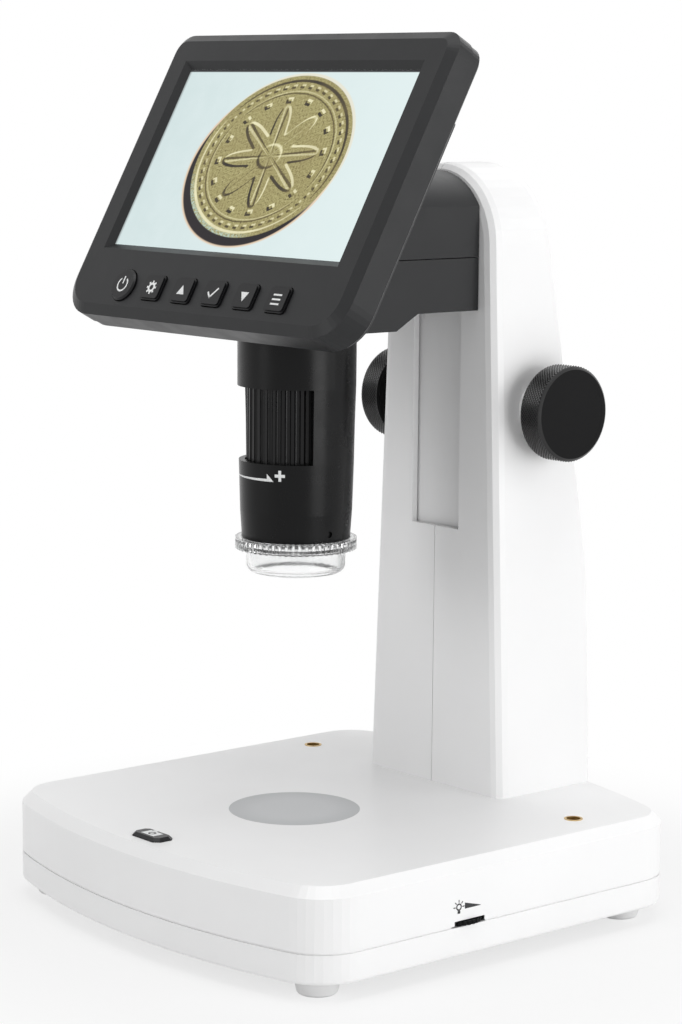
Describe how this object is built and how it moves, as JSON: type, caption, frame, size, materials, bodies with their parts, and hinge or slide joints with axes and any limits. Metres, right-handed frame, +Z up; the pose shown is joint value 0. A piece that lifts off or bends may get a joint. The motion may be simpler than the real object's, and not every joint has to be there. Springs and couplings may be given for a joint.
{
  "type": "digital microscope",
  "caption": "Desktop digital microscope: a tilted display, lens tube and ribbed zoom ring ride a rack-driven slide on a tapered column over a lit stage.",
  "frame": {"origin": "centre of the footprint, on the surface that the feet stand on", "axes": "+X to the user's right, -Y towards the user, +Z up"},
  "size_m": [0.1416, 0.1504, 0.2441],
  "materials": {
    "black_plastic": "satin moulded black plastic with a fine spark texture",
    "white_plastic": "satin moulded off-white plastic",
    "inner_plastic": "plain dark moulded plastic",
    "button_black": "satin black plastic",
    "knob_black": "matt black plastic, knurled round the rim",
    "ring_plastic": "matt black ribbed plastic",
    "key_black": "satin black key caps with white symbols",
    "clear_plastic": "clear moulded plastic",
    "frosted_acrylic": "frosted translucent disc",
    "foot_rubber": "soft off-white rubber",
    "screw_steel": "zinc-plated steel",
    "rod_steel": "ground steel",
    "socket_brass": "turned brass",
    "socket_steel": "tinned sheet steel",
    "cell_sleeve": "cell in a plain blue sleeve",
    "circuit_board": "green solder mask",
    "white_board": "white solder mask with small lamps",
    "lens_glass": "coated optical glass",
    "screen_cover": "clear cover plate",
    "lcd_glass": "lit display panel"
  },
  "bodies": {
    "stand": {"base_top_cover": "white_plastic", "base_bottom_tray": "white_plastic", "rubber_feet": "foot_rubber", "base_screws": "screw_steel", "stage_window": "frosted_acrylic", "stage_light_board": "circuit_board", "clip_sockets": "socket_brass", "snapshot_switch": "circuit_board", "base_circuit_board": "circuit_board", "dimmer_control": "inner_plastic", "power_inlet": "inner_plastic", "column_shell_left": "white_plastic", "column_shell_right": "white_plastic", "column_screws": "screw_steel", "guide_rods": "rod_steel", "rod_holder_lower": "inner_plastic", "rod_holder_upper": "inner_plastic", "shaft_bushes": "socket_brass"},
    "focus_drive": {"focus_shaft": "rod_steel", "pinion": "socket_brass", "focus_knob_left": "knob_black", "focus_knob_right": "knob_black"},
    "head": {"carriage": "inner_plastic", "rack": "rod_steel", "dust_strip": "white_plastic", "head_upper_shell": "black_plastic", "head_lower_shell": "black_plastic", "head_screws": "screw_steel", "battery_cell": "cell_sleeve", "tube_housing": "black_plastic", "sensor_mount": "inner_plastic", "image_sensor_board": "circuit_board", "light_ring_board": "white_board", "nosepiece": "clear_plastic", "display_bezel": "black_plastic", "display_rear_cover": "black_plastic", "display_window": "screen_cover", "lcd_panel": "lcd_glass", "main_board": "circuit_board", "key_switch_board": "circuit_board", "card_socket": "socket_steel", "usb_socket": "socket_steel", "display_screws": "screw_steel"},
    "zoom_ring": {"zoom_ring": "ring_plastic"},
    "lens_cell": {"lens_cell": "inner_plastic", "front_lens": "lens_glass", "rear_lens": "lens_glass"},
    "power_key": {"power_key": "key_black"},
    "settings_key": {"settings_key": "key_black"},
    "up_key": {"up_key": "key_black"},
    "confirm_key": {"confirm_key": "key_black"},
    "down_key": {"down_key": "key_black"},
    "mode_key": {"mode_key": "key_black"},
    "snapshot_button": {"snapshot_button": "button_black"},
    "dimmer_wheel": {"dimmer_wheel": "button_black"}
  },
  "joints": [
    {"name": "focus_slide", "type": "slide", "parent": "stand", "child": "head", "axis": [0, 0, 1], "range_m": [-0.064, 0]},
    {"name": "knob_turn", "type": "hinge", "parent": "stand", "child": "focus_drive", "pos_m": [0, 0.05225, 0.14], "axis": [1, 0, 0], "range_deg": [0, 765]},
    {"name": "lens_slide", "type": "slide", "parent": "head", "child": "lens_cell", "axis": [0, 0, 1], "range_m": [-0.006, 0]},
    {"name": "zoom_turn", "type": "hinge", "parent": "head", "child": "zoom_ring", "pos_m": [0, -0.0165, 0.139], "axis": [0, 0, 1], "range_deg": [0, 240.1]},
    {"name": "power_key_press", "type": "slide", "parent": "head", "child": "power_key", "axis": [0, 0.8755, -0.4833], "range_m": [0, 0.0005], "stiffness_N_per_m": 400, "springref_m": -0.0006},
    {"name": "settings_key_press", "type": "slide", "parent": "head", "child": "settings_key", "axis": [0, 0.8755, -0.4833], "range_m": [0, 0.0005], "stiffness_N_per_m": 400, "springref_m": -0.0006},
    {"name": "up_key_press", "type": "slide", "parent": "head", "child": "up_key", "axis": [0, 0.8755, -0.4833], "range_m": [0, 0.0005], "stiffness_N_per_m": 400, "springref_m": -0.0006},
    {"name": "confirm_key_press", "type": "slide", "parent": "head", "child": "confirm_key", "axis": [0, 0.8755, -0.4833], "range_m": [0, 0.0005], "stiffness_N_per_m": 400, "springref_m": -0.0006},
    {"name": "down_key_press", "type": "slide", "parent": "head", "child": "down_key", "axis": [0, 0.8755, -0.4833], "range_m": [0, 0.0005], "stiffness_N_per_m": 400, "springref_m": -0.0006},
    {"name": "mode_key_press", "type": "slide", "parent": "head", "child": "mode_key", "axis": [0, 0.8755, -0.4833], "range_m": [0, 0.0005], "stiffness_N_per_m": 400, "springref_m": -0.0006},
    {"name": "snapshot_press", "type": "slide", "parent": "stand", "child": "snapshot_button", "axis": [0, 0, -1], "range_m": [0, 0.0006], "stiffness_N_per_m": 400, "springref_m": -0.0006},
    {"name": "dimmer_turn", "type": "hinge", "parent": "stand", "child": "dimmer_wheel", "pos_m": [0.0623, -0.0142, 0.0135], "axis": [0, 0, 1], "range_deg": [0, 270]}
  ],
  "couplings": [
    {"joint": "knob_turn", "follows": "focus_slide", "rad_per_m": -208.33},
    {"joint": "zoom_turn", "follows": "lens_slide", "rad_per_m": -698.13}
  ]
}
